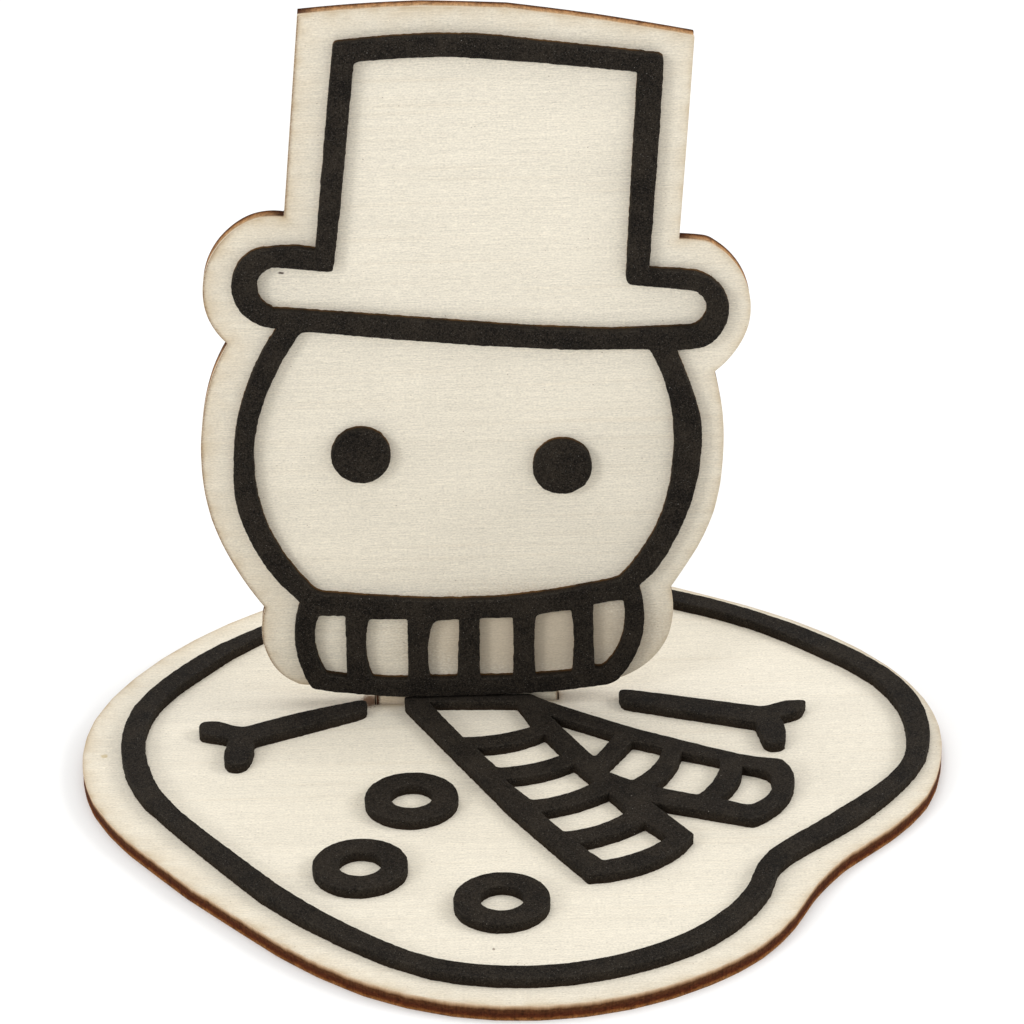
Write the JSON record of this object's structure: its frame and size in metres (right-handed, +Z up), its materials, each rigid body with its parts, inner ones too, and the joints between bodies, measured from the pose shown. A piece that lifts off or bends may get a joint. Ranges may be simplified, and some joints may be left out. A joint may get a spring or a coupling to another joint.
{
  "type": "snowman figure",
  "caption": "Melting snowman decoration: a flat plywood head stands in a slot of a plywood puddle, with black foam rubber hat, face, scarf, arm and button lines.",
  "frame": {"origin": "centre of the overall box on the surface that the puddle plate rests on, so z = 0 is the plate's underside", "axes": "+Z up, from the puddle to the hat. -Y is the front, the side that the face looks to. +X is the viewer's right, along the head plate"},
  "size_m": [0.1582, 0.1544, 0.142],
  "materials": {
    "plywood_base": "pale raw plywood, fine straight grain, laser-burnt dark brown edge with lighter outer plies",
    "plywood_head": "pale raw plywood, fine straight grain, faint smoke halo along the laser-burnt edge",
    "foam_rubber": "matte charcoal-black foam rubber sheet, fine pores and lint, slightly wavy cut edge"
  },
  "bodies": {
    "base": {"base_plate": "plywood_base", "base_outline": "foam_rubber", "left_arm": "foam_rubber", "right_arm": "foam_rubber", "scarf_tails": "foam_rubber", "button_upper": "foam_rubber", "button_middle": "foam_rubber", "button_lower": "foam_rubber"},
    "head": {"head_plate": "plywood_head", "head_outline": "foam_rubber", "left_eye": "foam_rubber", "right_eye": "foam_rubber"}
  },
  "joints": [
    {"name": "head_lift", "type": "slide", "parent": "base", "child": "head", "axis": [0, 0, 1], "range_m": [0, 0.02]}
  ]
}
